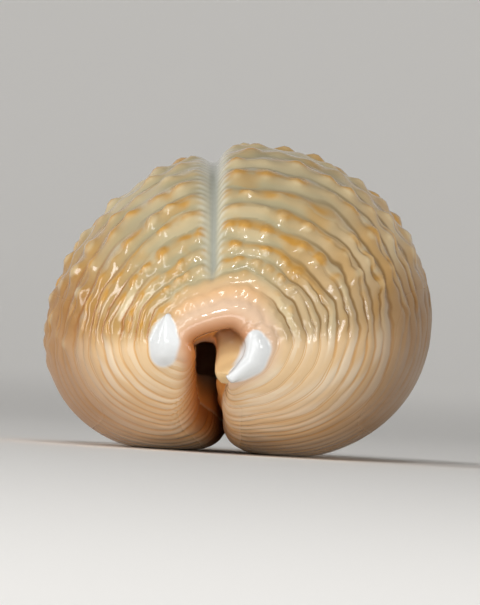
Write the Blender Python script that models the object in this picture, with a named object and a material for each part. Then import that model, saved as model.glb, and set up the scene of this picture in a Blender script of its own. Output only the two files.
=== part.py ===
# Nucleus cowrie: one hollow, one-piece sea shell with a knobbly back split by a groove,
# a ridged base, and a narrow mouth underneath that ends in a curled canal at the front.
# The front (anterior) end faces -Y, the back of the shell is up, and it rests on two small
# flat spots, one on each side of the mouth. The origin is on the floor, under its middle.

import bpy
import numpy as np

MM = 0.001

# Driving dimensions
LENGTH = 23.0 * MM
WIDTH = 14.8 * MM
HEIGHT = 11.85 * MM
WIDEST_Y = 0.5 * MM
REST_DEPTH = 0.12 * MM
WALL_KEEP = 0.84
CAVITY_FRONT = -8.6 * MM
CAVITY_BACK = 8.8 * MM
BEAK = 0.8 * MM
BEAK_SPREAD = np.radians(15)
RIDGES = 36
RIDGE_HEIGHT = 0.13 * MM
RIDGE_SHARE_ON_BACK = 0.3
RIDGE_ENDS = np.radians([9, 18])
KNOB_ROWS = 24
KNOB_HEIGHT = 0.3 * MM
KNOB_PITCH = 1.6 * MM
KNOB_SIZES = (0.65, 1.15)
KNOB_CELLS = 64
KNOB_ENDS = np.radians([14, 24])
SULCUS_DEPTH = 0.4 * MM
SULCUS_WIDTH = 0.3 * MM
SULCUS_X = -1.0 * MM
SULCUS_START = np.radians([10, 22])
SULCUS_END = 0.3
SEED = 7

# The two swollen spots by the front canal: angle from the front end and its spread, how far
# past the widest place of their side they lie, and their spread along the section
CALLUS_HEIGHT = 0.22 * MM
LEFT_CALLUS = (0.19, 0.1, 0.0, 4.0 * MM)
RIGHT_CALLUS = (0.09, 0.06, 2.0 * MM, 5.0 * MM)

# The section at the widest place, seen from the front: each turning point as (x, z)
LABRAL_LIP = np.array([-0.65, 0.78]) * MM
LABRAL_LOW = np.array([-2.6, 0.25]) * MM
LEFT_SIDE = np.array([-7.3, 4.2]) * MM
CREST = np.array([0.4, 11.7]) * MM
RIGHT_SIDE = np.array([7.3, 4.9]) * MM
COLUMELLAR_LOW = np.array([1.7, 0.0]) * MM
COLUMELLAR_LIP = np.array([-0.5, 0.76]) * MM

# The seen lean of the shell, which is taken out so that both lobes touch the floor
LEAN = np.arctan2(LABRAL_LOW[1] - COLUMELLAR_LOW[1], COLUMELLAR_LOW[0] - LABRAL_LOW[0])

# The rims of the two canals as (x, z), from the labral corner over the arch to the hook
FRONT_RIM = np.array([
    (-1.62, 4.05), (-1.66, 4.22), (-1.68, 4.45), (-1.45, 4.62), (-1.0, 4.78), (-0.62, 4.88),
    (-0.05, 4.78), (0.27, 4.32), (0.20, 3.87), (-0.05, 3.47), (-0.28, 3.17),
]) * MM
BACK_RIM = np.array([
    (-0.30, 3.65), (-0.36, 3.85), (-0.38, 4.15), (-0.25, 4.55), (0.05, 4.82), (0.35, 4.90),
    (0.85, 4.65), (1.10, 4.15), (1.02, 3.70), (0.85, 3.45), (0.62, 3.40),
]) * MM
INNER_FRONT_RIM = np.array([
    (-1.75, 3.70), (-1.80, 3.90), (-1.78, 4.15), (-1.55, 4.34), (-1.25, 4.42), (-1.1, 4.40),
    (-0.92, 4.32), (-0.84, 4.12), (-0.82, 3.87), (-0.84, 3.72), (-0.88, 3.62),
]) * MM
INNER_BACK_RIM = np.array([
    (-0.25, 3.75), (-0.30, 3.90), (-0.30, 4.15), (-0.20, 4.40), (0.05, 4.55), (0.30, 4.60),
    (0.65, 4.45), (0.80, 4.15), (0.78, 3.85), (0.70, 3.70), (0.55, 3.65),
]) * MM

# The two edges of the mouth: degrees from the front end, and x in millimetres there
LABRAL_EDGE = np.array([
    (0, -1.62), (17, -1.62), (45, -1.6), (53, -1.47), (60, -1.15), (67, -0.95), (78, -0.82),
    (90, -0.68), (115, -0.42), (140, -0.25), (162, -0.2), (180, -0.3),
])
COLUMELLAR_EDGE = np.array([
    (0, -0.28), (7, -0.34), (14.4, -0.42), (22, -0.49), (34, -0.54), (45, -0.5), (54, -0.46),
    (65, -0.5), (75, -0.4), (90, -0.12), (115, 0.25), (140, 0.42), (162, 0.5), (180, 0.62),
])
LIP_REACH = 3.2 * MM
INNER_LIP_RISE = 1.5 * MM

# How round the lips turn into the mouth, as a radius, at each place round the mouth
LABRAL_ROLL = 0.6 * MM
ARCH_ROLL = 0.55 * MM
CURL_ROLL = 0.34 * MM
TIP_ROLL = 0.08 * MM
TIP_ROLL_ANGLES = np.radians([0, 8, 17, 40])
COLUMELLAR_ROLL = 0.45 * MM
BACK_ROLL = 0.5 * MM

# The hooked curl, a shelf that starts under the arch, runs down inside the right rim and comes
# out at the front as a rounded tip: place round the mouth, and x, z, y of its left edge there
CURL_PLACES = np.array([0.46, 0.50, 0.62, 0.75, 0.845, 0.943, 1.0, 1.022, 1.044, 1.067])
CURL_EDGE = np.array([
    (-0.98, 4.72, -10.9), (-0.87, 4.67, -10.6), (-0.83, 4.44, -10.4), (-0.83, 4.12, -10.5),
    (-0.88, 3.78, -10.8), (-0.96, 3.44, -11.15), (-0.95, 3.19, -11.35), (-0.84, 2.97, -11.25),
    (-0.64, 2.80, -11.05), (-0.45, 2.66, -10.8),
]) * MM
CURL_START = (0.46, 0.50)
CURL_END = (1.055, 1.08)
CURL_TIP = (0.8, 1.0)
CURL_ROUNDNESS = 0.24 * MM

# Fineness of the mesh
ROWS = 2 * RIDGES
SULCUS_STEP = 0.38 * MM
BACK_COLUMNS = 15
BASE_STEP = 1.6 * MM
LIP_STEPS = np.array([0, 0.1, 0.3, 0.65, 1.2, 2.0, 3.0]) * MM
INNER_ROWS, INNER_COLUMNS = 24, 13
SECTION_POINTS = 60
LIP_POINTS = 20
BATCH = 2000

# The rings of points that lead from the mouth's edge to the hollow: as shares of the way, and
# for the curl first across its shelf, then round its left edge
THROAT_SHARES = (0.2, 0.42, 0.68)
SHELF_TURNS = np.radians([40, 90])
EDGE_TURN = np.radians(75)
THROAT_DEPTH = 1.2 * MM
THROAT_SMOOTHING = 10


def smooth_step(low, high, x):
    t = np.clip((x - low) / (high - low), 0, 1)
    return t * t * (3 - 2 * t)


def curve_through(keys, values, at):
    """The smooth curve that passes through values at keys, read at the places at."""
    slopes = np.gradient(values, keys, axis=0)
    at = np.clip(at, keys[0], keys[-1])
    i = np.clip(np.searchsorted(keys, at, side="right") - 1, 0, len(keys) - 2)
    span = keys[i + 1] - keys[i]
    t = (at - keys[i]) / span
    if values.ndim == 2:
        t, span = t[:, None], span[:, None]
    return (
        (1 + 2 * t) * (1 - t) ** 2 * values[i]
        + t * (1 - t) ** 2 * span * slopes[i]
        + t * t * (3 - 2 * t) * values[i + 1]
        + t * t * (t - 1) * span * slopes[i + 1]
    )


def quarter(centre, reach, start, end, power=2.0):
    """A quarter of a (super)ellipse, from one angle to another in degrees."""
    angle = np.radians(np.linspace(start, end, SECTION_POINTS))
    c, s = np.cos(angle), np.sin(angle)
    x = centre[0] + reach[0] * np.sign(c) * np.abs(c) ** (2 / power)
    z = centre[1] + reach[1] * np.sign(s) * np.abs(s) ** (2 / power)
    return np.column_stack([x, z])


def lip_slope(low, lip, power):
    """The lobe's underside, from its lowest line to the edge of the mouth."""
    t = np.linspace(0, 1, LIP_POINTS)
    return low + np.column_stack([t, t**power]) * (lip - low)


def section():
    """The widest section as points, the length along them, and the lengths at its keys."""
    left_low = (LABRAL_LOW[0], LEFT_SIDE[1])
    left_top = (CREST[0], LEFT_SIDE[1])
    right_top = (CREST[0], RIGHT_SIDE[1])
    right_low = (COLUMELLAR_LOW[0], RIGHT_SIDE[1])
    pieces = [
        lip_slope(LABRAL_LOW, LABRAL_LIP, 2.0)[::-1],
        quarter(left_low, np.abs(LEFT_SIDE - LABRAL_LOW), 270, 180),
        quarter(left_top, np.abs(CREST - LEFT_SIDE), 180, 90, power=1.88),
        quarter(right_top, np.abs(RIGHT_SIDE - CREST), 90, 0),
        quarter(right_low, np.abs(RIGHT_SIDE - COLUMELLAR_LOW), 0, -90),
        lip_slope(COLUMELLAR_LOW, COLUMELLAR_LIP, 2.4),
    ]
    points = np.concatenate([pieces[0]] + [p[1:] for p in pieces[1:]])
    along = np.concatenate([[0], np.cumsum(np.linalg.norm(np.diff(points, axis=0), axis=1))])
    ends = along[np.cumsum([len(p) - 1 for p in pieces])]
    top = (along > ends[1]) & (along < ends[2])
    sulcus = np.interp(SULCUS_X, points[top, 0], along[top])
    return points, along, ends, sulcus


POINTS, ALONG, ENDS, SULCUS = section()
TOTAL = ALONG[-1]
RIM_KEYS = np.array([
    0, ENDS[0], ENDS[1], (ENDS[1] + ENDS[2]) / 2, SULCUS, ENDS[2], (ENDS[2] + ENDS[3]) / 2,
    ENDS[3], (ENDS[3] + ENDS[4]) / 2, ENDS[4], TOTAL,
])


def edge_shift(xz, angle, along):
    """Moves the lips sideways so that the mouth's edges follow their own lines."""
    for edge, column, reach in (
        (LABRAL_EDGE, 0, along / LIP_REACH),
        (COLUMELLAR_EDGE, -1, (TOTAL - along) / LIP_REACH),
    ):
        wanted = curve_through(np.radians(edge[:, 0]), edge[:, 1] * MM, angle)
        shift = wanted - xz[:, column, 0]
        xz[:, :, 0] += shift[:, None] * (1 - smooth_step(0, 1, reach))[None, :]


def skin(angle, along):
    """The plain outer form: angle runs from the front end to the back, along from lip to lip."""
    widest = np.column_stack([np.interp(along, ALONG, POINTS[:, k]) for k in (0, 1)])
    front = curve_through(RIM_KEYS, FRONT_RIM, along)
    back = curve_through(RIM_KEYS, BACK_RIM, along)
    rim = np.where(angle[:, None, None] < np.pi / 2, front[None], back[None])
    xz = rim + (widest[None] - rim) * np.sin(angle)[:, None, None]
    edge_shift(xz, angle, along)
    half = np.where(angle < np.pi / 2, LENGTH / 2 + WIDEST_Y - BEAK, LENGTH / 2 - WIDEST_Y - BEAK)
    end = np.minimum(angle, np.pi - angle)
    beak = BEAK * np.exp(-((end / BEAK_SPREAD) ** 2)) * np.sign(np.cos(angle))
    y = WIDEST_Y - half * np.cos(angle) - beak
    return np.stack([xz[..., 0], np.broadcast_to(y[:, None], xz.shape[:2]), xz[..., 1]], axis=-1)


def grid_normals(points):
    """Outward normals of a lip to lip grid, which face the ends on its first and last rows."""
    normal = np.cross(np.gradient(points, axis=1), np.gradient(points, axis=0))
    normal[0], normal[-1] = (0, -1, 0), (0, 1, 0)
    return normal / np.linalg.norm(normal, axis=2, keepdims=True)


def border(grid):
    """A grid's outer loop: front rim, columellar edge, back rim, labral edge."""
    return np.concatenate([grid[0, :-1], grid[:-1, -1], grid[-1, :0:-1], grid[:0:-1, 0]])


def border_places(angle, along):
    """Where each point of the border lies round the mouth: 0 to 1 along the front rim, 1 to 2
    back along the columellar lip, 2 to 3 along the back rim, 3 to 4 forward along the labral lip."""
    a, s = angle / np.pi, along / TOTAL
    return np.concatenate([s[:-1], 1 + a[:-1], 3 - s[:0:-1], 4 - a[:0:-1]])


def roll_radii(angle, along):
    """The lip radius at each point of the border."""
    grid = np.full((len(angle), len(along)), BACK_ROLL)
    grid[:, 0] = LABRAL_ROLL
    grid[:, -1] = np.interp(
        angle, TIP_ROLL_ANGLES, [TIP_ROLL, TIP_ROLL, CURL_ROLL, COLUMELLAR_ROLL]
    )
    grid[0] = np.interp(
        along, RIM_KEYS[[0, 2, 4, 6, 7, 8, 9, 10]],
        [LABRAL_ROLL, LABRAL_ROLL, ARCH_ROLL, ARCH_ROLL, CURL_ROLL, CURL_ROLL, TIP_ROLL, TIP_ROLL],
    )
    return border(grid)


def into_mouth(normals):
    """The way that the lips turn in: against the normals, with no sideways part."""
    inward = -normals
    inward[..., 0] = 0
    return inward / np.linalg.norm(inward, axis=2, keepdims=True)


def roll_depth(points, loop, radii):
    """How far each point sinks so that the skin turns round into the mouth."""
    flat = points.reshape(-1, 3)
    depth = np.empty(len(flat))
    for k in range(0, len(flat), BATCH):
        far = np.linalg.norm(flat[k:k + BATCH, None] - loop[None], axis=2)
        nearest = far.argmin(axis=1)
        away = far[np.arange(len(nearest)), nearest]
        radius = radii[nearest]
        left = np.clip(radius - away, 0, None)
        depth[k:k + BATCH] = radius - np.sqrt(radius**2 - left**2)
    return depth.reshape(points.shape[:2])


def callus(a, s, side_at, spot):
    at, spread, past, reach = spot
    return np.exp(-(((a - at) / spread) ** 2) - ((s - side_at - past) / reach) ** 2)


def relief(angle, along):
    """Ridges, knobs, the groove along the back, and the two swollen spots by the canal."""
    a, s = np.meshgrid(angle, along, indexing="ij")
    pole = np.minimum(a, np.pi - a)
    side = np.abs(s - SULCUS)
    under = smooth_step(6.5 * MM, 10 * MM, side)
    ridge = np.sin(RIDGES * a) ** 2 * smooth_step(*RIDGE_ENDS, pole)
    height = RIDGE_HEIGHT * ridge * (RIDGE_SHARE_ON_BACK + (1 - RIDGE_SHARE_ON_BACK) * under)

    sizes = np.random.default_rng(SEED).uniform(*KNOB_SIZES, (KNOB_ROWS + 1, KNOB_CELLS))
    row = KNOB_ROWS * a / np.pi
    line = np.floor(row).astype(int)
    place = (s - SULCUS) / KNOB_PITCH + 0.5 * (line % 2)
    knob = np.sin(np.pi * row) ** 2 * np.cos(np.pi * place) ** 2
    knob *= sizes[line, np.round(place).astype(int) + KNOB_CELLS // 2]
    on_back = (1 - smooth_step(8 * MM, 12 * MM, side)) * smooth_step(0.3 * MM, 0.7 * MM, side)
    on_back *= smooth_step(*KNOB_ENDS, pole)
    height += KNOB_HEIGHT * knob * on_back * (0.6 + 0.4 * np.sin(a))

    groove = np.exp(-((side / SULCUS_WIDTH) ** 2))
    height -= SULCUS_DEPTH * groove * smooth_step(*SULCUS_START, a) * smooth_step(
        0, SULCUS_END, np.pi - a
    )
    spots = callus(a, s, ENDS[1], LEFT_CALLUS) + callus(a, s, ENDS[3], RIGHT_CALLUS)
    return height + CALLUS_HEIGHT * spots


def cavity(angle, along):
    """The inside wall, a smaller form with its own narrow rims and thick lips."""
    widest = np.column_stack([np.interp(along, ALONG, POINTS[:, k]) for k in (0, 1)])
    middle = np.array([0, (CREST[1] + COLUMELLAR_LOW[1]) / 2])
    widest = middle + (widest - middle) * WALL_KEEP
    near_lip = np.minimum(along, TOTAL - along)
    widest[:, 1] += INNER_LIP_RISE * (1 - smooth_step(0, LIP_REACH, near_lip))
    front = curve_through(RIM_KEYS, INNER_FRONT_RIM, along)
    back = curve_through(RIM_KEYS, INNER_BACK_RIM, along)
    rim = np.where(angle[:, None, None] < np.pi / 2, front[None], back[None])
    xz = rim + (widest[None] - rim) * np.sin(angle)[:, None, None]
    edge_shift(xz, angle, along)
    half = np.where(angle < np.pi / 2, WIDEST_Y - CAVITY_FRONT, CAVITY_BACK - WIDEST_Y)
    y = WIDEST_Y - half * np.cos(angle)
    return np.stack([xz[..., 0], np.broadcast_to(y[:, None], xz.shape[:2]), xz[..., 1]], axis=-1)


def columns():
    """Places from lip to lip, closer together where the lips turn in."""
    steps = np.arange(-BACK_COLUMNS, BACK_COLUMNS + 1) * KNOB_PITCH / 2
    back = SULCUS + np.sort(np.append(steps, [-SULCUS_STEP, SULCUS_STEP]))
    left_lip, right_lip = LIP_STEPS, TOTAL - LIP_STEPS[::-1]
    left, right = (
        np.linspace(start, end, int(np.ceil((end - start) / BASE_STEP)) + 1)[1:-1]
        for start, end in ((left_lip[-1], back[0]), (back[-1], right_lip[0]))
    )
    return np.concatenate([left_lip, left, back, right, right_lip])


def grid_faces(rows, cols, start, inside):
    """A grid's quads, which face out of the shell, or into its hollow for the inside wall."""
    faces = []
    for r in range(rows - 1):
        for c in range(cols - 1):
            k = start + r * cols + c
            quad = (k, k + 1, k + cols + 1, k + cols)
            faces.append(quad[::-1] if inside else quad)
    return faces


def border_indices(rows, cols, start):
    index = start + np.arange(rows * cols).reshape(rows, cols)
    return border(index)


def stitch(first, second, first_at, second_at):
    """Triangles between two loops that run the same way, paired by their places on 0 to 4."""
    faces, i, j = [], 0, 0
    n, m = len(first), len(second)
    while i < n or j < m:
        next_i = first_at[i + 1] if i + 1 < n else 4.0
        next_j = second_at[j + 1] if j + 1 < m else 4.0
        if i < n and (j >= m or next_i <= next_j):
            faces.append((first[i], second[j % m], first[(i + 1) % n]))
            i += 1
        else:
            faces.append((first[i % n], second[j], second[(j + 1) % m]))
            j += 1
    return faces


def throat_rings(places, edge, inward, target):
    """The rings from the mouth's edge to the hollow, with the curl's shelf and rounded left edge."""
    fold = curve_through(CURL_PLACES, CURL_EDGE, places)
    run = np.gradient(fold[:, :2], axis=0)
    square = np.column_stack([run[:, 1], -run[:, 0]])
    square /= np.maximum(np.linalg.norm(square, axis=1), 1e-9)[:, None]
    flat, edge_y, fold_y = edge[:, [0, 2]], edge[:, 1:2], fold[:, 2:]
    radius = np.minimum(CURL_ROUNDNESS, 0.45 * np.linalg.norm(fold[:, :2] - flat, axis=1))[:, None]
    shelf_end = fold[:, :2] - square * radius
    in_curl = smooth_step(*CURL_START, places) * (1 - smooth_step(*CURL_END, places))
    tip = smooth_step(*CURL_TIP, places)[:, None]

    stages = []
    for turn in SHELF_TURNS:
        across = (1 - np.cos(turn)) * (1 - tip) + np.sin(turn) * tip
        deep = np.sin(turn) * (1 - tip) + (1 - np.cos(turn)) * tip
        xz, y = flat + (shelf_end - flat) * across, edge_y + (fold_y - edge_y) * deep
        stages.append(np.column_stack([xz[:, 0], y[:, 0], xz[:, 1]]))
    xz = shelf_end + square * radius * np.sin(EDGE_TURN)
    y = fold_y + radius * (1 - np.cos(EDGE_TURN))
    stages.append(np.column_stack([xz[:, 0], y[:, 0], xz[:, 1]]))

    rings = []
    for t, shelf in zip(THROAT_SHARES, stages):
        lead = edge + inward * THROAT_DEPTH * t
        wall = lead * (1 - t * t) + target * t * t
        wall = wall * (1 - in_curl[:, None]) + shelf * in_curl[:, None]
        for _ in range(int(THROAT_SMOOTHING * t * t)):
            wall = (np.roll(wall, 1, axis=0) + 2 * wall + np.roll(wall, -1, axis=0)) / 4
        rings.append(wall)
    return rings


def settle(points):
    """Takes out the lean, cuts the two resting spots flat, and fits the driving dimensions."""
    c, s = np.cos(LEAN), np.sin(LEAN)
    x, y, z = points.T
    points = np.column_stack([c * x - s * z, y, s * x + c * z])
    low = points[:, 2].min() + REST_DEPTH
    points[:, 2] = np.maximum(points[:, 2], low)
    size = points.max(axis=0) - points.min(axis=0)
    points -= [*((points.max(axis=0) + points.min(axis=0))[:2] / 2), low]
    return points * np.array([WIDTH, LENGTH, HEIGHT]) / size


def shell_mesh():
    angle, along = np.linspace(0, np.pi, ROWS + 1), columns()
    rows, cols = len(angle), len(along)
    plain = skin(angle, along)
    normals = grid_normals(plain)
    loop = border(plain)
    sink = roll_depth(plain, loop, roll_radii(angle, along))
    inward = into_mouth(normals)
    outer = plain + inward * sink[..., None]
    lowest = plain[..., 2] + (plain[..., 0] - COLUMELLAR_LOW[0]) * np.tan(LEAN)
    resting = smooth_step(1.1 * REST_DEPTH, 1.9 * REST_DEPTH, lowest)
    height = relief(angle, along) * resting * (1 - 0.8 * sink / LABRAL_ROLL)
    outer += grid_normals(outer) * height[..., None]

    inner_angle = np.linspace(0, np.pi, INNER_ROWS)
    inner_along = np.linspace(0, TOTAL, INNER_COLUMNS)
    inner = cavity(inner_angle, inner_along)
    edge, inward = border(outer), border(inward)
    inner_places = border_places(inner_angle, inner_along)
    places = border_places(angle, along)
    inner_edge = border(inner)
    target = np.column_stack([
        np.interp(places, np.append(inner_places, 4), np.append(inner_edge[:, k], inner_edge[0, k]))
        for k in range(3)
    ])

    points = [outer.reshape(-1, 3)]
    faces = grid_faces(rows, cols, 0, inside=False)
    ring, total = border_indices(rows, cols, 0), rows * cols
    for wall in throat_rings(places, edge, inward, target):
        points.append(wall)
        next_ring = total + np.arange(len(ring))
        faces += [
            (ring[k], ring[k - 1], next_ring[k - 1], next_ring[k])
            for k in range(len(ring))
        ]
        ring, total = next_ring, total + len(ring)
    points.append(inner.reshape(-1, 3))
    faces += grid_faces(INNER_ROWS, INNER_COLUMNS, total, inside=True)
    inner_ring = border_indices(INNER_ROWS, INNER_COLUMNS, total)
    faces += stitch(ring, inner_ring, places, inner_places)
    return settle(np.concatenate(points)), faces


def glossy_shell():
    material = bpy.data.materials.new("glossy_shell")
    material.use_nodes = True
    shader = material.node_tree.nodes["Principled BSDF"]
    shader.inputs["Base Color"].default_value = (0.60, 0.41, 0.22, 1)
    shader.inputs["Roughness"].default_value = 0.14
    shader.inputs["Metallic"].default_value = 0.0
    return material


def main():
    for thing in list(bpy.data.objects):
        bpy.data.objects.remove(thing, do_unlink=True)
    points, faces = shell_mesh()
    mesh = bpy.data.meshes.new("shell")
    mesh.from_pydata(points.tolist(), [], [tuple(int(k) for k in f) for f in faces])
    mesh.validate()
    mesh.shade_smooth()
    mesh.materials.append(glossy_shell())
    shell = bpy.data.objects.new("shell", mesh)
    bpy.context.scene.collection.objects.link(shell)


main()
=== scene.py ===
import bmesh
import bpy
import numpy as np
from mathutils import Matrix, Vector


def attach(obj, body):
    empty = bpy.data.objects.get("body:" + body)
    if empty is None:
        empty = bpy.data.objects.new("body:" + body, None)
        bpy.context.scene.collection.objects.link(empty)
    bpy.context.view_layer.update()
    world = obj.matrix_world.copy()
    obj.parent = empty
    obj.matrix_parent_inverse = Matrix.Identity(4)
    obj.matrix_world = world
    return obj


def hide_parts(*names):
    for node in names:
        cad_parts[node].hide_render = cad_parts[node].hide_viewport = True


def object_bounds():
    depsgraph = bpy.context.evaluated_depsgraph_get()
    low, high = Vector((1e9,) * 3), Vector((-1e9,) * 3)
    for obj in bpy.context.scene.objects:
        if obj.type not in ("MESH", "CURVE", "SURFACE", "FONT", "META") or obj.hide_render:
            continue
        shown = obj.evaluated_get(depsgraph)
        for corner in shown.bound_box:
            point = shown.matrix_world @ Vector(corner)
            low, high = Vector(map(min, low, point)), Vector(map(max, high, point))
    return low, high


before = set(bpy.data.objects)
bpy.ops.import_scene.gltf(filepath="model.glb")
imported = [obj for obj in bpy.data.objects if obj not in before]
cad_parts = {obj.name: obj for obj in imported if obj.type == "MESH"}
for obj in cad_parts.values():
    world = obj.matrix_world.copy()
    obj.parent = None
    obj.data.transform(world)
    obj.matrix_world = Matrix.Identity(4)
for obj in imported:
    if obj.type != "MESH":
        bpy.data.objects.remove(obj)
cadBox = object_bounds()
print("frame loaded")

# A nucleus cowrie, seen on its front end. The shell is one grid of points: angle, in radians, goes
# from the front end to the back end, and along, in millimetres, from lip to lip over the back.
# Everything is worked out in millimetres in the photo's lean, and settled on the floor at the end.
form = {
    "length": 23.0,
    "widestY": 0.5,
    "restDepth": 0.12,  # how much of each lobe is flat where it rests
    "wallKeep": 0.84,  # the hollow's section, as a share of the outside
    "cavityEnds": (-8.6, 8.8),
    "beak": 0.8,  # how far the two ends are drawn out
    "beakSpread": 15.0,  # degrees
    "lipReach": 3.2,  # how far round from each lip the section follows the mouth
    "innerLipRise": 1.5,
}
section = {  # the widest section seen from the front, each turning point as x, z
    "labralLip": (-0.65, 0.78),
    "labralLow": (-2.6, 0.25),
    "leftSide": (-7.3, 4.2),
    "crest": (0.4, 11.7),
    "rightSide": (7.3, 4.9),
    "columellarLow": (1.7, 0.0),
    "columellarLip": (-0.5, 0.76),
    "sulcusX": -1.0,  # the groove along the back
    "leftShoulder": 1.88,  # 2 is an ellipse, less is flatter
    "labralTurn": 2.0,  # how late the base turns up to each lip
    "columellarTurn": 2.4,
    "arcPoints": 60,
    "lipPoints": 20,
}
rims = {  # the openings at the two ends as x, z, from the labral corner over the arch to the hook
    "front": [
        (-1.62, 4.05), (-1.66, 4.22), (-1.68, 4.45), (-1.45, 4.62), (-1.0, 4.78), (-0.62, 4.88),
        (-0.05, 4.78), (0.27, 4.32), (0.20, 3.87), (-0.05, 3.47), (-0.28, 3.17),
    ],
    "back": [
        (-0.30, 3.65), (-0.36, 3.85), (-0.38, 4.15), (-0.25, 4.55), (0.05, 4.82), (0.35, 4.90),
        (0.85, 4.65), (1.10, 4.15), (1.02, 3.70), (0.85, 3.45), (0.62, 3.40),
    ],
    "innerFront": [
        (-1.75, 3.70), (-1.80, 3.90), (-1.78, 4.15), (-1.55, 4.34), (-1.25, 4.42), (-1.1, 4.40),
        (-0.92, 4.32), (-0.84, 4.12), (-0.82, 3.87), (-0.84, 3.72), (-0.88, 3.62),
    ],
    "innerBack": [
        (-0.25, 3.75), (-0.30, 3.90), (-0.30, 4.15), (-0.20, 4.40), (0.05, 4.55), (0.30, 4.60),
        (0.65, 4.45), (0.80, 4.15), (0.78, 3.85), (0.70, 3.70), (0.55, 3.65),
    ],
}
mouth = {
    "labralX": [  # degrees from the front end, x
        (0, -1.62), (17, -1.62), (45, -1.6), (53, -1.47), (60, -1.15), (67, -0.95), (78, -0.82),
        (90, -0.68), (115, -0.42), (140, -0.25), (162, -0.2), (180, -0.3),
    ],
    "columellarX": [
        (0, -0.28), (7, -0.34), (14.4, -0.42), (22, -0.49), (34, -0.54), (45, -0.5), (54, -0.46),
        (65, -0.5), (75, -0.4), (90, -0.12), (115, 0.25), (140, 0.42), (162, 0.5), (180, 0.62),
    ],
    "rolls": {  # how round the mouth's edge is
        "labral": 0.6, "arch": 0.55, "curl": 0.34, "tip": 0.08, "columellar": 0.45, "back": 0.5,
    },
    "rollPower": 2.6,
    "throatDepth": 1.2,
    "toothing": 2.4,  # how much higher the base ridges stand on the lips, as teeth
}


def smoothStep(low, high, x):
    t = np.clip((x - low) / (high - low), 0, 1)
    return t * t * (3 - 2 * t)


def bell(x, width, power=2.0):
    return np.exp(-(np.abs(x / width) ** power))


# A smooth curve through the values at the keys, which may be numbers or points.
def curveThrough(keys, values, at):
    keys, values = np.array(keys, float), np.array(values, float)
    slopes = np.gradient(values, keys, axis=0)
    at = np.clip(at, keys[0], keys[-1])
    i = np.clip(np.searchsorted(keys, at, side="right") - 1, 0, len(keys) - 2)
    span = keys[i + 1] - keys[i]
    t = (at - keys[i]) / span
    if values.ndim == 2:
        t, span = t[:, None], span[:, None]
    return (
        (1 + 2 * t) * (1 - t) ** 2 * values[i] + t * (1 - t) ** 2 * span * slopes[i]
        + t * t * (3 - 2 * t) * values[i + 1] + t * t * (t - 1) * span * slopes[i + 1]
    )


# A quarter of an ellipse between two turning points of the section.
def quarterArc(centre, ends, start, end, power=2.0):
    angle = np.radians(np.linspace(start, end, section["arcPoints"]))
    c, s = np.cos(angle), np.sin(angle)
    reach = np.abs(np.array(ends[1]) - np.array(ends[0]))
    x = centre[0] + reach[0] * np.sign(c) * np.abs(c) ** (2 / power)
    z = centre[1] + reach[1] * np.sign(s) * np.abs(s) ** (2 / power)
    return np.column_stack([x, z])


def lipSlope(low, lip, power):
    t = np.linspace(0, 1, section["lipPoints"])
    return np.array(low) + np.column_stack([t, t**power]) * (np.array(lip) - np.array(low))


# The section's points, how far along each is, where its pieces end, and where the groove is.
def drawSection():
    low, left, top = section["labralLow"], section["leftSide"], section["crest"]
    right, rightLow = section["rightSide"], section["columellarLow"]
    pieces = [
        lipSlope(low, section["labralLip"], section["labralTurn"])[::-1],
        quarterArc((low[0], left[1]), (left, low), 270, 180),
        quarterArc((top[0], left[1]), (top, left), 180, 90, power=section["leftShoulder"]),
        quarterArc((top[0], right[1]), (right, top), 90, 0),
        quarterArc((rightLow[0], right[1]), (right, rightLow), 0, -90),
        lipSlope(rightLow, section["columellarLip"], section["columellarTurn"]),
    ]
    points = np.concatenate([pieces[0]] + [p[1:] for p in pieces[1:]])
    along = np.concatenate([[0], np.cumsum(np.linalg.norm(np.diff(points, axis=0), axis=1))])
    ends = along[np.cumsum([len(p) - 1 for p in pieces])]
    upper = (along > ends[1]) & (along < ends[2])
    sulcus = np.interp(section["sulcusX"], points[upper, 0], along[upper])
    return points, along, ends, sulcus


sectionPoints, sectionAlong, sectionEnds, sulcusAt = drawSection()
roundTotal = sectionAlong[-1]
lipTurn, leftTurn, topTurn, rightTurn, lowTurn = sectionEnds[:5]
rimKeys = np.array([  # how far along the section each point of a rim belongs
    0, lipTurn, leftTurn, (leftTurn + topTurn) / 2, sulcusAt, topTurn, (topTurn + rightTurn) / 2,
    rightTurn, (rightTurn + lowTurn) / 2, lowTurn, roundTotal,
])
lean = np.arctan2(
    section["labralLow"][1] - section["columellarLow"][1],
    section["columellarLow"][0] - section["labralLow"][0],
)


# Moves the two lips sideways on to the mouth's edges, and less so further round.
def followMouth(xz, angle, along):
    for edge, column, reach in (
        (mouth["labralX"], 0, along / form["lipReach"]),
        (mouth["columellarX"], -1, (roundTotal - along) / form["lipReach"]),
    ):
        degrees, edgeX = np.array(edge).T
        wanted = curveThrough(np.radians(degrees), edgeX, angle)
        shift = wanted - xz[:, column, 0]
        xz[:, :, 0] += shift[:, None] * (1 - smoothStep(0, 1, reach))[None, :]


# Swings the section from the front rim over the widest place to the back rim.
def sweep(angle, along, widest, frontRim, backRim, y):
    front = curveThrough(rimKeys, frontRim, along)
    back = curveThrough(rimKeys, backRim, along)
    rim = np.where(angle[:, None, None] < np.pi / 2, front[None], back[None])
    xz = rim + (widest[None] - rim) * np.sin(angle)[:, None, None]
    followMouth(xz, angle, along)
    y = np.broadcast_to(y[:, None], xz.shape[:2])
    return np.stack([xz[..., 0], y, xz[..., 1]], axis=-1)


def widestSection(along):
    return np.column_stack([np.interp(along, sectionAlong, sectionPoints[:, k]) for k in (0, 1)])


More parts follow.
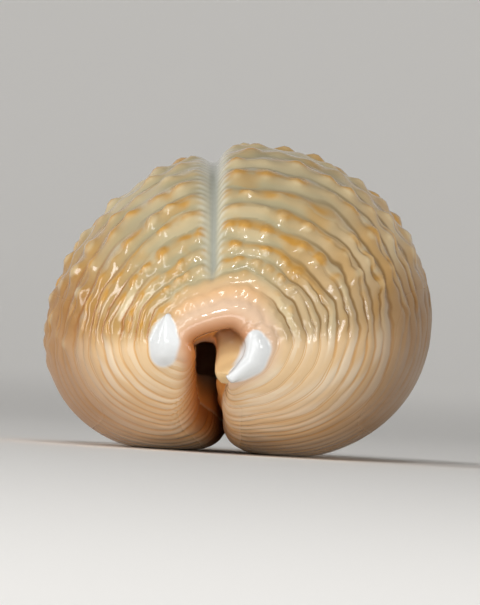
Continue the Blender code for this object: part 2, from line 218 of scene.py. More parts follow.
def outerSkin(angle, along):
    towards = np.where(angle < np.pi / 2, 1, -1)
    half = form["length"] / 2 + towards * form["widestY"] - form["beak"]
    end = np.minimum(angle, np.pi - angle)
    beak = form["beak"] * np.exp(-((end / np.radians(form["beakSpread"])) ** 2))
    y = form["widestY"] - half * np.cos(angle) - beak * np.sign(np.cos(angle))
    return sweep(angle, along, widestSection(along), rims["front"], rims["back"], y)


def innerSkin(angle, along):
    middle = np.array([0, (section["crest"][1] + section["columellarLow"][1]) / 2])
    widest = middle + (widestSection(along) - middle) * form["wallKeep"]
    nearLip = np.minimum(along, roundTotal - along)
    widest[:, 1] += form["innerLipRise"] * (1 - smoothStep(0, form["lipReach"], nearLip))
    front, back = form["cavityEnds"]
    half = np.where(angle < np.pi / 2, form["widestY"] - front, back - form["widestY"])
    y = form["widestY"] - half * np.cos(angle)
    return sweep(angle, along, widest, rims["innerFront"], rims["innerBack"], y)


relief = {
    "rowCrests": (12, 16, 21, 26, 33, 41, 48, 58, 67, 76.5, 86),  # degrees from each end
    "flankReach": (10.5, 12.5),  # from the groove on the back to the base, left and right
    "baseHeight": 0.042,  # flat ridges with narrow grooves under the shell
    "flankHeight": 0.13,
    "rowHeight": 0.055,  # the low rows over the back that carry the knobs
    "labralBend": 1.5,  # how many rows the ridges bend by at each lip
    "columellarBend": -0.6,
    "splitFrom": 4.2,  # the row from which each splits in two on its way down
    "splitDepth": 0.85,
    "plateLength": 2.2,  # the unsplit stretches on the flanks
    "plateHeight": 0.04,
    "swingLength": 2.1,  # the rows on the back rise and sink over this length
    "toneLength": 1.3,  # how far a ridge keeps its colour
    "dashLength": 1.1,
    "beadPitch": 0.8,
    "beadHeight": 0.05,
    "knobPitch": 1.3,
    "knobHeight": 0.23,
    "knobSizes": (0.3, 1.15),
    "knobShift": 0.22,
    "dimpleAt": (11, 4),  # degrees from each end, middle and half width
    "archAt": (6, 3),
    "archHeight": 0.1,
    "sulcusStart": (14, 24),  # degrees from the front end
    "sulcusDepth": 0.36,
    "sulcusWidth": 0.44,
    "combHeight": 0.022,  # the short ribs along the groove
    "combCount": 66,
    "spotEdge": (0.82, 1.08),  # in half widths of the spot
    "spotReach": 1.4,
    "spotHeight": 0.2,
    "cells": 64,
    "seed": 7,
}
waves = {  # slow waves over the shell, each as size, turns per mm, turns per radian and start
    "rows": [
        (0.10, 0.11, 0.9, 0.4), (0.07, 0.19, -2.3, 1.9), (0.045, 0.33, 3.1, 3.3),
        (0.025, 0.55, 5.7, 5.0),
    ],
    "flanks": [(0.03, 0.8, 3.7, 2.2), (0.025, 1.3, -4.0, 0.6)],
    "dimples": [(0.012, 0.6, 7.0, 0.0), (0.012, -0.5, 9.0, 1.0)],
}
spots = {  # the two white swellings, each a path of x, z and half width
    "left": [(-2.62, 5.36, 0.1), (-2.70, 4.87, 0.42), (-2.76, 4.42, 0.6), (-2.80, 4.02, 0.52)],
    "right": [
        (0.62, 4.56, 0.32), (0.68, 4.17, 0.56), (0.5, 3.74, 0.56), (0.1, 3.36, 0.36),
        (-0.24, 3.1, 0.16),
    ],
}
amberMarks = {  # the clearest orange marks on the front, each as x, z and half width
    "places": [
        (-2.08, 6.55, 0.42), (-2.42, 7.13, 0.26), (-1.97, 7.77, 0.2), (-3.53, 7.55, 0.28),
        (-2.04, 8.31, 0.26), (-3.99, 8.39, 0.3), (-2.73, 8.96, 0.26), (-3.95, 9.11, 0.26),
        (-2.0, 9.42, 0.24), (-2.62, 9.72, 0.3), (-0.06, 9.04, 0.24), (0.67, 8.85, 0.3),
        (-0.48, 7.51, 0.22), (-0.36, 6.86, 0.24), (1.05, 10.76, 0.55), (0.86, 9.84, 0.6),
        (1.9, 8.2, 0.3), (2.4, 7.2, 0.26), (3.1, 8.6, 0.3),
    ],
    "roundAbout": (-0.6, 4.7),  # they follow the rows round this point
    "halfHeight": 0.14,
    "spread": 1.4,  # how far they fade out past their size
}
shadedMargins = {  # painted shade low on both sides, where the outline turns away: middle and half width along, and fade by angle
    "leftEdge": (8.0, 4.0, (0.45, 1.1)),
    "rightShadedEdge": (33.0, 4.5, (0.4, 1.15)),
}


def waveSum(a, s, name):
    return sum(
        size * np.sin(2 * np.pi * (perMm * s + perRadian * a) + start)
        for size, perMm, perRadian, start in waves[name]
    )


# Rows passed from the front end: a groove at each whole number, a crest half way between.
def rowCount(angle):
    crests = relief["rowCrests"]
    middle = len(crests) + 0.5
    keys = np.radians([0, *crests, 94])
    rows = np.array([0, *(np.arange(len(crests)) + 1.5), len(crests) + 1.5])
    half = curveThrough(keys, rows, np.minimum(angle, np.pi - angle))
    return np.where(angle < np.pi / 2, half, 2 * (middle + 0.5) - half)


# How many rows off the straight rows run at each point.
def rowSway(a, s, pole, base, flank):
    sway = waveSum(a, s, "rows") * (1 - 0.6 * base)
    sway += flank * smoothStep(0.35, 0.8, pole) * waveSum(a, s, "flanks")
    labral = relief["labralBend"] * (1 - smoothStep(0, 3.2, s))
    columellar = relief["columellarBend"] * (1 - smoothStep(0, 2.4, roundTotal - s))
    return sway + labral * (1 - 0.75 * smoothStep(0.5, 1.1, pole)) + columellar


# How far a point is from the middle of a spot, in half widths of it.
def spotAway(x, z, path):
    path = np.array(path)
    keys, fine = np.arange(len(path)), np.linspace(0, len(path) - 1, 40)
    px, pz, width = (np.interp(fine, keys, path[:, k]) for k in range(3))
    away = np.full(x.shape, np.inf)
    for k in range(len(fine)):
        away = np.minimum(away, np.hypot(x - px[k], z - pz[k]) / width[k])
    return away


def markedAmber(x, z, across):
    amber = np.zeros_like(x)
    middleX, middleZ = amberMarks["roundAbout"]
    spread = amberMarks["spread"]
    for markX, markZ, halfWidth in amberMarks["places"]:
        outX, outZ = markX - middleX, markZ - middleZ
        far = np.hypot(outX, outZ)
        outwards = ((x - markX) * outX + (z - markZ) * outZ) / far
        roundIt = ((z - markZ) * outX - (x - markX) * outZ) / far
        mark = bell(outwards, spread * amberMarks["halfHeight"])
        mark = mark * bell(roundIt, spread * halfWidth)
        mark = mark * (0.3 + 0.7 * bell(across - 0.6, 0.25))
        amber = np.maximum(amber, smoothStep(0.15, 0.65, mark))
    return amber


# Smooth random values along each row, one table row for each.
def cellNoise(table, line, place):
    cell = np.floor(place).astype(int)
    t = place - cell
    t = t * t * (3 - 2 * t)
    return table[line, cell] * (1 - t) + table[line, cell + 1] * t


def shellRelief(angle, along, plain):
    a, s = np.meshgrid(angle, along, indexing="ij")
    side = np.abs(s - sulcusAt)
    pole = np.minimum(a, np.pi - a)
    ends = smoothStep(np.radians(4.5), np.radians(9), pole)
    below = side - np.where(s < sulcusAt, *relief["flankReach"])
    base = smoothStep(-1.6, 1.6, below)  # 1 under the shell
    back = 1 - smoothStep(5.0, 9.5, side)  # 1 on the back
    flank = (1 - base) * (1 - back)

    rowLine = rowCount(angle)[:, None] + rowSway(a, s, pole, base, flank) * ends
    lines = 2 * len(relief["rowCrests"]) + 6
    line = np.clip(np.floor(rowLine).astype(int), 0, lines - 1)
    half = np.clip(np.floor(2 * rowLine).astype(int), 0, 2 * lines - 1)
    crest = np.abs(np.sin(np.pi * rowLine))
    middle = bell(np.cos(np.pi * rowLine), 0.3)
    across = np.where(a < np.pi / 2, rowLine - line, 1 - rowLine + line)
    walk = (s - sulcusAt) * np.clip(np.sin(a), 0.3, 1)  # real distance from the groove
    middleCell = relief["cells"] // 2

    random = np.random.default_rng(relief["seed"])

    def table(rows, low=0.0, high=1.0):
        return random.uniform(low, high, (rows, relief["cells"]))

    # The ridges, and where they split in two.
    patch = cellNoise(table(lines), line, s / relief["plateLength"] + 0.5 * (line % 2))
    inner = np.minimum(rowLine, 2 * (len(relief["rowCrests"]) + 1) - rowLine)
    split = smoothStep(0, 1, inner - relief["splitFrom"]) * (1 - back)
    split = split * np.maximum(smoothStep(0.25, 0.5, patch), base)
    onFlank = flank * smoothStep(2.5, 4.0, inner)
    split = np.maximum(split, (0.65 + 0.35 * smoothStep(0.3, 0.6, patch)) * onFlank)
    plate = (1 - smoothStep(0.15, 0.42, patch)) * flank
    swing = 0.55 + 0.75 * cellNoise(table(lines), line, s / relief["swingLength"] + 0.3)
    deep = relief["baseHeight"] * base + relief["flankHeight"] * flank
    body = base * crest**0.4 + (1 - base) * (back * crest**1.4 + (1 - back) * crest)
    height = (deep + relief["rowHeight"] * back * swing) * ends * body
    height -= relief["splitDepth"] * deep * ends * split * middle
    height += relief["plateHeight"] * plate * crest * ends

    # Tones along the ridges, and beads on them, but none on the smooth ridges at the front left.
    tone = cellNoise(table(2 * lines), half, middleCell + walk / relief["toneLength"])
    beads = cellNoise(table(2 * lines, -1), half, s / relief["beadPitch"])
    left = 1 - smoothStep(12.0, 26.0, s)
    smooth = left * (1 - smoothStep(0.7, 1.05, pole)) * smoothStep(3.5, 6.0, side - 2 * pole)
    height += relief["beadHeight"] * beads * crest * flank * (1 - smooth)

    # The knobs on the back, with amber below them and in dashes along the rows.
    sizes = table(lines, *relief["knobSizes"])
    shifts = table(lines, -relief["knobShift"], relief["knobShift"])
    place = (s - sulcusAt) / relief["knobPitch"] + 0.5 * (line % 2)
    cell = np.round(place).astype(int) + middleCell
    off = place - np.round(place) - shifts[line, cell]
    size = sizes[line, cell]
    amber = smoothStep(0.08, 0.5, bell(across - 0.64, 0.23) * bell(off, 0.34))
    amber = amber * smoothStep(0.4, 0.65, size)
    dashes = cellNoise(table(lines), line, middleCell + walk / relief["dashLength"])
    amber = np.maximum(amber, 0.9 * bell(across - 0.72, 0.15) * smoothStep(0.6, 0.8, dashes))
    amber = amber * (1 - smoothStep(7.5, 11.5, side))
    amber = amber * smoothStep(np.radians(13), np.radians(16), pole)
    past = side - 2.5 * smoothStep(0.45, 0.9, pole)
    knob = crest**2.0 * bell(off, 0.27) * size * (1 - smoothStep(6.0, 10.0, past))
    knob = knob * smoothStep(np.radians(14), np.radians(22), pole)
    knob = knob * smoothStep(0.5, 1.0, side) * (1 - 0.9 * smooth)
    height += relief["knobHeight"] * knob * (0.6 + 0.4 * np.sin(a))

    # The groove along the back, with its comb of short ribs.
    beforeBack = np.pi - a
    run = smoothStep(*np.radians(relief["sulcusStart"]), a) * smoothStep(0, 0.3, beforeBack)
    groove = bell(side, relief["sulcusWidth"])
    comb = np.sin(relief["combCount"] * a - 1.2 * side) ** 2 * bell(side - 0.5, 0.26)
    height = height * (1 - smoothStep(0.1, 0.9, groove) * run)
    height += run * (relief["combHeight"] * comb - relief["sulcusDepth"] * groove)

    # The arch over the canal, the marks that have their own places, and the two white spots.
    dimpleAt, dimpleWidth = np.radians(relief["dimpleAt"])
    archAt, archWidth = np.radians(relief["archAt"])
    nearArch = bell(pole - dimpleAt, dimpleWidth) * (1 - smoothStep(5.0, 9.0, side))
    height += waveSum(a, s, "dimples") * nearArch
    arch = bell(pole - archAt, archWidth) * (1 - smoothStep(4.0, 12.0, side))
    height += relief["archHeight"] * arch
    x, z = plain[..., 0], plain[..., 2]
    front = a < np.pi / 3
    amber = np.maximum(amber, markedAmber(x, z, across) * front)
    away = np.minimum(*(spotAway(x, z, path) for path in spots.values()))
    spot = (1 - smoothStep(*relief["spotEdge"], away)) * front
    swell = (1 - smoothStep(0.0, relief["spotReach"], away)) * front
    height = height * (1 - 0.9 * spot) + relief["spotHeight"] * swell

    masks = {
        "rowLine": rowLine, "split": split, "tone": tone, "left": left, "knob": knob,
        "amber": amber * (1 - groove * run),
        "spot": spot,
        "sulcus": run * (1 - smoothStep(0.25, 0.72, side)),
        "core": run * (1 - smoothStep(0.1, 0.32, side)),
        "rib": run * comb,
        "under": smoothStep(-1.5, 0.4, below),
        "back": 1 - smoothStep(3.0, 8.5, side),
        "aboveArch": (1 - smoothStep(4.0, 9.0, side)) * (1 - smoothStep(0.2, 0.33, pole)),
        "endRise": smoothStep(np.radians(5), np.radians(17), pole),
    }
    # Painted shade low on each side, at the outline.
    for name, (centre, width, fade) in shadedMargins.items():
        masks[name] = bell(s - centre, width, 4) * smoothStep(*fade, a)
        masks[name] = masks[name] * smoothStep(0, 0.4, beforeBack)
    return height, masks


def gridNormals(points):
    normal = np.cross(np.gradient(points, axis=1), np.gradient(points, axis=0))
    normal[0], normal[-1] = (0, -1, 0), (0, 1, 0)
    return normal / np.linalg.norm(normal, axis=2, keepdims=True)


def border(grid):
    return np.concatenate([grid[0, :-1], grid[:-1, -1], grid[-1, :0:-1], grid[:0:-1, 0]])


# Places round the mouth: 0 to 1 along the front rim, 1 to 2 back along the columellar lip,
# 2 to 3 along the back rim, and 3 to 4 forward along the labral lip.
def borderPlaces(angle, along):
    a, s = angle / np.pi, along / roundTotal
    return np.concatenate([s[:-1], 1 + a[:-1], 3 - s[:0:-1], 4 - a[:0:-1]])


def rollRadii(angle, along):
    roll = mouth["rolls"]
    keys = rimKeys[[0, 2, 4, 6, 7, 8, 9, 10]]
    values = [
        roll[k] for k in ("labral", "labral", "arch", "arch", "curl", "curl", "tip", "tip")
    ]
    grid = np.full((len(angle), len(along)), roll["back"])
    grid[:, 0] = roll["labral"]
    grid[:, -1] = np.interp(
        angle, np.radians([0, 8, 17, 40]),
        [roll["tip"], roll["tip"], roll["curl"], roll["columellar"]],
    )
    grid[0] = np.interp(along, keys, values)
    return border(grid)


# How far each point sinks towards the mouth, how far it is from the mouth's edge, and which point
# of the edge is nearest.
def rollIn(points, loop, radii):
    flat = points.reshape(-1, 3)
    sink, reach = np.empty(len(flat)), np.empty(len(flat))
    nearest = np.empty(len(flat), int)
    batch = 2000
    for k in range(0, len(flat), batch):
        far = np.linalg.norm(flat[k:k + batch, None] - loop[None], axis=2)
        close = far.argmin(axis=1)
        away = far[np.arange(len(close)), close]
        radius = radii[close]
        share = np.clip(1 - away / radius, 0, 1)
        sink[k:k + batch] = radius * (1 - np.sqrt(1 - share ** mouth["rollPower"]))
        reach[k:k + batch] = away
        nearest[k:k + batch] = close
    shape = points.shape[:2]
    return sink.reshape(shape), reach.reshape(shape), nearest.reshape(shape)


# The hooked curl is a shelf that starts under the arch, runs down inside the right rim and comes
# out at the front as a rounded tip.
curl = {
    "leftEdge": [  # place round the mouth, then x, z, y
        (0.46, -0.98, 4.72, -10.9), (0.50, -0.87, 4.67, -10.6), (0.62, -0.83, 4.44, -10.4),
        (0.75, -0.83, 4.12, -10.5), (0.845, -0.88, 3.78, -10.8), (0.943, -0.96, 3.44, -11.15),
        (1.0, -0.95, 3.19, -11.35), (1.022, -0.84, 2.97, -11.25), (1.044, -0.64, 2.80, -11.05),
        (1.067, -0.45, 2.66, -10.8),
    ],
    "startPlaces": (0.46, 0.50),
    "endPlaces": (1.055, 1.08),
    "tipPlaces": (0.8, 1.0),  # from here on the shelf leaves the rim sideways, not inwards
    "roundness": 0.24,
}
throat = {
    "shelfSteps": (0.14, 0.3, 0.47, 0.65, 0.83, 1.0),
    "turnSteps": (32, 62, 90),  # degrees round the curl's left edge
    "deepSteps": (0.74, 0.89),
    "nearReach": 0.6,  # share of the throat's depth that the first two lists take up
    "ridgeBulge": 0.26,  # the pale inner ridge seen in the slit on the columellar side
    "ridgePlaces": (1.10, 1.16, 1.36, 1.46),
    "ridgeDepth": (0.5, 0.2),  # middle and half width, as shares of the throat's depth
    "wallSmoothing": 80,
    "curlSmoothing": 5,
}


# The rings of points from the mouth's edge to the hollow. Each ring is returned with how deep it
# counts as (for its colour) and how much each of its points belongs to the curl.
def throatRings(places, edge, turn, target):
    keys = np.array(curl["leftEdge"])
    fold = curveThrough(keys[:, 0], keys[:, 1:], places)
    along = np.gradient(fold[:, :2], axis=0)
    square = np.column_stack([along[:, 1], -along[:, 0]])
    square /= np.maximum(np.linalg.norm(square, axis=1), 1e-9)[:, None]
    flat = edge[:, [0, 2]]
    radius = np.minimum(
        curl["roundness"], 0.45 * np.linalg.norm(fold[:, :2] - flat, axis=1)
    )[:, None]
    shelfEnd = fold[:, :2] - square * radius
    inCurl = smoothStep(*curl["startPlaces"], places)
    inCurl = inCurl * (1 - smoothStep(*curl["endPlaces"], places))
    tip = smoothStep(*curl["tipPlaces"], places)[:, None]
    low, full, fullEnd, high = throat["ridgePlaces"]
    ridge = smoothStep(low, full, places) * (1 - smoothStep(fullEnd, high, places))

    count = len(throat["shelfSteps"]) + len(throat["turnSteps"])
    shares = [*(throat["nearReach"] * (np.arange(count) + 1) / count), *throat["deepSteps"]]
    ridgeAt, ridgeWidth = throat["ridgeDepth"]
    rings, depths, shelves = [edge], [], []
    for k, t in enumerate(shares):
        lead = edge + turn * mouth["throatDepth"] * t
        wall = lead * (1 - t * t) + target * t * t
        wall[:, 0] -= throat["ridgeBulge"] * ridge * bell(t - ridgeAt, ridgeWidth)
        if k < len(throat["shelfSteps"]):
            u = throat["shelfSteps"][k] * np.pi / 2
            sidewaysShare = (1 - np.cos(u)) * (1 - tip) + np.sin(u) * tip
            inwardShare = np.sin(u) * (1 - tip) + (1 - np.cos(u)) * tip
            xz = flat + (shelfEnd - flat) * sidewaysShare
            y = edge[:, 1:2] + (fold[:, 2:] - edge[:, 1:2]) * inwardShare
            depth = 0.0
        elif k < count:
            u = np.radians(throat["turnSteps"][k - len(throat["shelfSteps"])])
            xz = shelfEnd + square * radius * np.sin(u)
            y = fold[:, 2:] + radius * (1 - np.cos(u))
            depth = 0.35 * (1 - np.cos(u))
            turned = np.column_stack([xz[:, 0], y[:, 0], xz[:, 1]])
        else:
            share = ((t - throat["nearReach"]) / (1 - throat["nearReach"])) ** 1.3
            onwards = turned * (1 - share) + target * share
            xz, y = onwards[:, [0, 2]], onwards[:, 1:2]
            depth = t
        shelf = np.column_stack([xz[:, 0], y[:, 0], xz[:, 1]])
        wall = wall * (1 - inCurl[:, None]) + shelf * inCurl[:, None]
        for _ in range(int(throat["wallSmoothing"] * t)):
            wall = (np.roll(wall, 1, axis=0) + 2 * wall + np.roll(wall, -1, axis=0)) / 4
        rings.append(wall)
        depths.append(t * (1 - inCurl) + depth * inCurl)
        shelves.append(inCurl * (k < count))
    rings = np.array(rings)
    for _ in range(throat["curlSmoothing"]):
        mean = (rings[:-2] + rings[2:] + np.roll(rings, 1, axis=1)[1:-1]
                + np.roll(rings, -1, axis=1)[1:-1]) / 4
        rings[1:-1] += 0.6 * inCurl[None, :, None] * (mean - rings[1:-1])
    return zip(rings[1:], depths, shelves)


fineness = {
    "rows": 366,
    "innerRows": 44,
    "innerColumns": 27,
    "lipSteps": (0, 0.05, 0.11, 0.19, 0.29, 0.41, 0.56, 0.75, 1.0, 1.3, 1.65, 2.05, 2.5),
    "sulcusSteps": (0, 0.09, 0.18, 0.27, 0.36, 0.45, 0.55, 0.67, 0.82),
    "backStep": 0.19,
    "baseStep": 0.34,
    "backReach": 12.0,
}


def chooseColumns():
    lip = np.array(fineness["lipSteps"])
    near = np.array(fineness["sulcusSteps"])
    back = np.arange(near[-1] + fineness["backStep"], fineness["backReach"], fineness["backStep"])
    middle = sulcusAt + np.concatenate([-back[::-1], -near[:0:-1], near, back])
    spans = [(lip[-1], middle[0]), (middle[-1], roundTotal - lip[-1])]
    left, right = (
        np.linspace(p, q, int(np.ceil((q - p) / fineness["baseStep"])) + 1)[1:-1] for p, q in spans
    )
    return np.concatenate([lip, left, middle, right, roundTotal - lip[::-1]])


# Takes out the photo's lean, flattens the two resting spots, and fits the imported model's box.
# The point at the middle of the photo is carried along for the camera.
def settled(points, aim):
    c, s = np.cos(lean), np.sin(lean)
    x, y, z = np.vstack([points, aim]).T
    turned = np.column_stack([c * x - s * z, y, s * x + c * z])
    points, aim = turned[:-1], turned[-1]
    points[:, 2] = np.maximum(points[:, 2], points[:, 2].min() + form["restDepth"])
    low, high = points.min(axis=0), points.max(axis=0)
    boxLow, boxHigh = (np.array(corner) for corner in cadBox)
    scale = (boxHigh - boxLow) / (high - low)
    return boxLow + (points - low) * scale, boxLow + (aim - low) * scale


def addGrid(name, rows, columns):
    bpy.ops.object.select_all(action="DESELECT")
    bpy.ops.mesh.primitive_grid_add(x_subdivisions=columns - 1, y_subdivisions=rows - 1, size=0.02)
    piece = bpy.context.object
    piece.name = name
    return piece


def movePoints(piece, points):
    piece.data.vertices.foreach_set("co", np.asarray(points, np.float32).ravel())
    piece.data.update()


# Extrudes the open border once, and returns the new ring in the order of the old one.
def extrudeBorder(piece, ring):
    count = len(piece.data.vertices)
    bpy.ops.object.mode_set(mode="EDIT")
    bpy.ops.mesh.select_mode(type="EDGE")
    bpy.ops.mesh.select_all(action="DESELECT")
    bpy.ops.mesh.select_non_manifold()
    bpy.ops.mesh.extrude_edges_move()
    bpy.ops.object.mode_set(mode="OBJECT")
    pairs = np.empty(2 * len(piece.data.edges), np.int32)
    piece.data.edges.foreach_get("vertices", pairs)
    pairs = np.sort(pairs.reshape(-1, 2), axis=1)
    joins = pairs[(pairs[:, 0] < count) & (pairs[:, 1] >= count)]
    follower = dict(joins.tolist())
    return np.array([follower[k] for k in ring])


# Closes the gap between two rings that run the same way, by their places from 0 to 4.
def zipRings(piece, first, second, firstAt, secondAt):
    mesh = bmesh.new()
    mesh.from_mesh(piece.data)
    mesh.verts.ensure_lookup_table()
    i, j = 0, 0
    while i < len(first) or j < len(second):
        nextI = firstAt[i + 1] if i + 1 < len(first) else 4.0
        nextJ = secondAt[j + 1] if j + 1 < len(second) else 4.0
        if i < len(first) and (j >= len(second) or nextI <= nextJ):
            corners = (first[i], second[j % len(second)], first[(i + 1) % len(first)])
            i += 1
        else:
            corners = (first[i % len(first)], second[j], second[(j + 1) % len(second)])
            j += 1
        mesh.faces.new([mesh.verts[int(k)] for k in corners])
    mesh.to_mesh(piece.data)
    mesh.free()


# The outer skin with its relief, the way inwards at each point, and masks for the enamel.
def dressOuter(angle, along):
    plain = outerSkin(angle, along)
    inward = -gridNormals(plain)
    inward[..., 0] = 0
    inward /= np.linalg.norm(inward, axis=2, keepdims=True)
    sink, reach, nearest = rollIn(plain, border(plain), rollRadii(angle, along))
    outer = plain + inward * sink[..., None]
    height, masks = shellRelief(angle, along, plain)
    lowest = plain[..., 2] + (plain[..., 0] - section["columellarLow"][0]) * np.tan(lean)
    resting = smoothStep(1.1 * form["restDepth"], 1.9 * form["restDepth"], lowest)
    toothed = smoothStep(0.35, 0.65, np.minimum(angle, np.pi - angle))[:, None]
    toothed = toothed * (1 - smoothStep(0.2, 1.7, reach))
    height = height * resting * (1 + mouth["toothing"] * toothed)
    height = height * (1 - (0.6 - 0.4 * toothed) * sink / mouth["rolls"]["labral"])
    outer += gridNormals(outer) * height[..., None]

    # Orange-brown along the mouth's edges and under the arch: partly the lips' own colour, partly
    # painted shade where they roll into the mouth.
    tintAndShadeKeys, tintAndShadeValues = np.array(enamel["lipTintAndShadeStrength"]).T
    lipTintAndShade = np.interp(borderPlaces(angle, along), tintAndShadeKeys, tintAndShadeValues)[nearest]
    pastFront = smoothStep(0.3, 0.5, angle)[:, None]
    masks["lipTintAndShade"] = lipTintAndShade * (1 - smoothStep(0.05, enamel["lipTintAndShadeReach"], reach))
    masks["dull"] = masks["under"] * (1 - smoothStep(0.2, 1.0, reach)) * pastFront
    return outer, inward, masks


# Where each point of the mouth's border arrives on the hollow's own border.
def throatTarget(places, innerEdge, innerPlaces):
    keys = np.append(innerPlaces, 4)
    return np.column_stack([
        np.interp(places, keys, np.append(innerEdge[:, k], innerEdge[0, k])) for k in range(3)
    ])


def flipFaces():
    bpy.ops.object.mode_set(mode="EDIT")
    bpy.ops.mesh.select_all(action="SELECT")
    bpy.ops.mesh.flip_normals()
    bpy.ops.object.mode_set(mode="OBJECT")


def joinPieces(main, other):
    bpy.ops.object.select_all(action="DESELECT")
    other.select_set(True)
    main.select_set(True)
    bpy.context.view_layer.objects.active = main
    bpy.ops.object.join()


def storeMasks(shell, masks):
    for name, values in masks.items():
        layer = shell.data.attributes.new(name, "FLOAT", "POINT")
        layer.data.foreach_set("value", values.astype(np.float32))


def buildShell():
    angle, along = np.linspace(0, np.pi, fineness["rows"] + 1), chooseColumns()
    rows, columns = len(angle), len(along)
    gridCount = rows * columns
    places = borderPlaces(angle, along)
    outer, inward, masks = dressOuter(angle, along)
    print("outer skin shaped:", rows, "rows by", columns, "columns")

    innerRows, innerColumns = fineness["innerRows"], fineness["innerColumns"]
    innerCount = innerRows * innerColumns
    innerAngle = np.linspace(0, np.pi, innerRows)
    innerAlong = along[np.linspace(0, columns - 1, innerColumns).round().astype(int)]
    inner = innerSkin(innerAngle, innerAlong)
    innerPlaces = borderPlaces(innerAngle, innerAlong)
    target = throatTarget(places, border(inner), innerPlaces)

    shell = addGrid("cowrieShell", rows, columns)
    points, depths, shelves = [outer.reshape(-1, 3)], [np.zeros(gridCount)], [np.zeros(gridCount)]
    ring = border(np.arange(gridCount).reshape(rows, columns))
    for wall, depth, shelf in throatRings(places, border(outer), border(inward), target):
        ring = extrudeBorder(shell, ring)
        order = ring - ring.min()
        for store, values in ((points, wall), (depths, depth), (shelves, shelf)):
            fresh = np.empty_like(values)
            fresh[order] = values
            store.append(fresh)
    wall = np.concatenate(points[1:])
    outerCount = gridCount + len(wall)

    hollow = addGrid("hollow", innerRows, innerColumns)
    flipFaces()
    points.append(inner.reshape(-1, 3))
    everything, aim = settled(np.concatenate(points), studio["photoMiddle"])
    movePoints(shell, everything[:outerCount])
    movePoints(hollow, everything[outerCount:])
    joinPieces(shell, hollow)
    innerRing = border(np.arange(innerCount).reshape(innerRows, -1)) + outerCount
    zipRings(shell, ring, innerRing, places, innerPlaces)
    shell.data.shade_smooth()
    print("shell closed:", len(shell.data.vertices), "points,", len(shell.data.polygons), "faces")

    whole = {
        "throat": np.concatenate([*depths, np.ones(innerCount)]),
        "shelf": np.concatenate([*shelves, np.zeros(innerCount)]),
    }
    for name, values in masks.items():
        whole[name] = np.zeros(outerCount + innerCount)
        whole[name][:gridCount] = values.ravel()
    # The white spot runs on over the rim of the curl.
    onRim = 1 - smoothStep(*relief["spotEdge"], spotAway(wall[:, 0], wall[:, 2], spots["right"]))
    whole["spot"][gridCount:outerCount] = onRim * np.concatenate(shelves[1:])
    storeMasks(shell, whole)
    return shell, Vector(aim)


enamel = {  # display colours 0 to 255
    "backGround": (172, 160, 126),
    "backRidge": (188, 166, 124),
    "flankLine": (142, 112, 70),
    "leftLine": (162, 106, 42),
    "flankRidge": (196, 170, 130),
    "leftRidge": (182, 146, 90),
    "gold": (190, 146, 78),
    # The two edge colours below are painted shade low on each side, at the outline.
    "leftEdge": (156, 102, 40),
    "rightShadedEdge": (128, 84, 36),
    "baseGround": (230, 198, 154),
    "basePale": (240, 222, 194),
    "baseLine": (212, 152, 72),
    "orange": (200, 146, 58),
    "cream": (212, 194, 156),
    "pink": (222, 190, 160),
    "peach": (226, 182, 136),
    "white": (222, 224, 224),
    "warm": (206, 146, 84),
    "grooveSide": (204, 200, 178),
    "grooveBlue": (168, 170, 160),
    "rib": (224, 222, 206),
    # The lip colour below is partly the lips' orange-brown and partly painted shade on their
    # inward roll.
    "lipTintAndShade": (176, 98, 16),
    # The curl's own tan, and a darker colour that is painted shade towards its top.
    "curl": (218, 184, 134),
    "curlShade": (140, 88, 52),
    # The mouth's inside: an orange near the lips and a pale colour deep in, both lightened to lift
    # the shade there. This is painted light over the inside's own orange.
    "throatNear": (246, 176, 96),
    "throatDeep": (240, 190, 146),
    "lipTintAndShadeStrength": [  # place round the mouth, strength
        (0, 0.9), (0.3, 0.8), (0.45, 0.75), (0.7, 0.6), (0.82, 0.1), (1.05, 0.1), (1.3, 0.3),
        (2, 0.4), (3, 0.4), (3.1, 0.9), (4, 0.9),
    ],
    "lipTintAndShadeReach": 0.85,
    "warmRise": (0.0005, 0.0036),  # metres above the floor, from the warm underside up
    "curlShadeRise": (0.0036, 0.0047),  # painted shade: from the pale tip to the shaded top
    "roughness": 0.12,
    "roughnessInside": 0.65,
    "coat": 0.25,
    "coatRoughness": 0.04,
    "clearness": 1.36,
    "speckleStrength": 0.12,
    "speckleDepth": 0.00005,
    "noiseScales": {"cloud": 420.0, "drift": 260.0, "speckle": 1500.0},
}


def displayColour(name):
    c = np.array(enamel[name]) / 255
    return (*np.where(c <= 0.04045, c / 12.92, ((c + 0.055) / 1.055) ** 2.4), 1)


